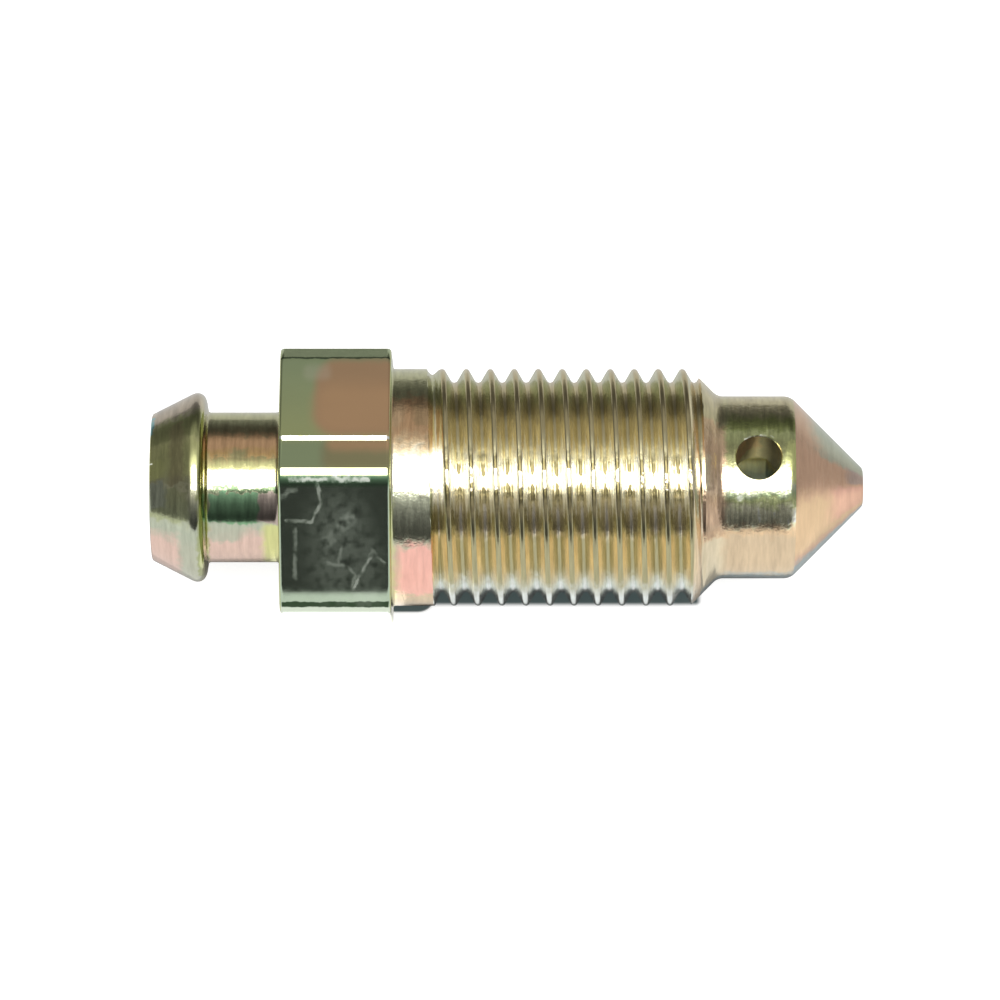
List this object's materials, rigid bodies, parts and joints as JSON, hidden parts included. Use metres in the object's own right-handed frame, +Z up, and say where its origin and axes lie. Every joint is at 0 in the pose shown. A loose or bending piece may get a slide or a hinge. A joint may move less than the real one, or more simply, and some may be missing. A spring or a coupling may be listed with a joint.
{
  "type": "bleeder screw",
  "caption": "Hydraulic bleeder screw: barbed hose nipple, hexagon, fine thread and cross-drilled tail with a sealing cone, in yellow zinc plating.",
  "frame": {"origin": "on the surface that the screw lies on, below the middle of its length, under its axis", "axes": "+X along the screw's axis from the hose nipple to the sealing cone, 5.5 mm above the origin; +Z up, square to the hexagon's upper flat"},
  "size_m": [0.0296, 0.0124, 0.011],
  "materials": {
    "yellow_zinc": "steel with a bright yellow chromate zinc plating, iridescent from gold to green and pink, with turning marks"
  },
  "bodies": {
    "root": {"bleeder_screw": "yellow_zinc"}
  },
  "joints": []
}
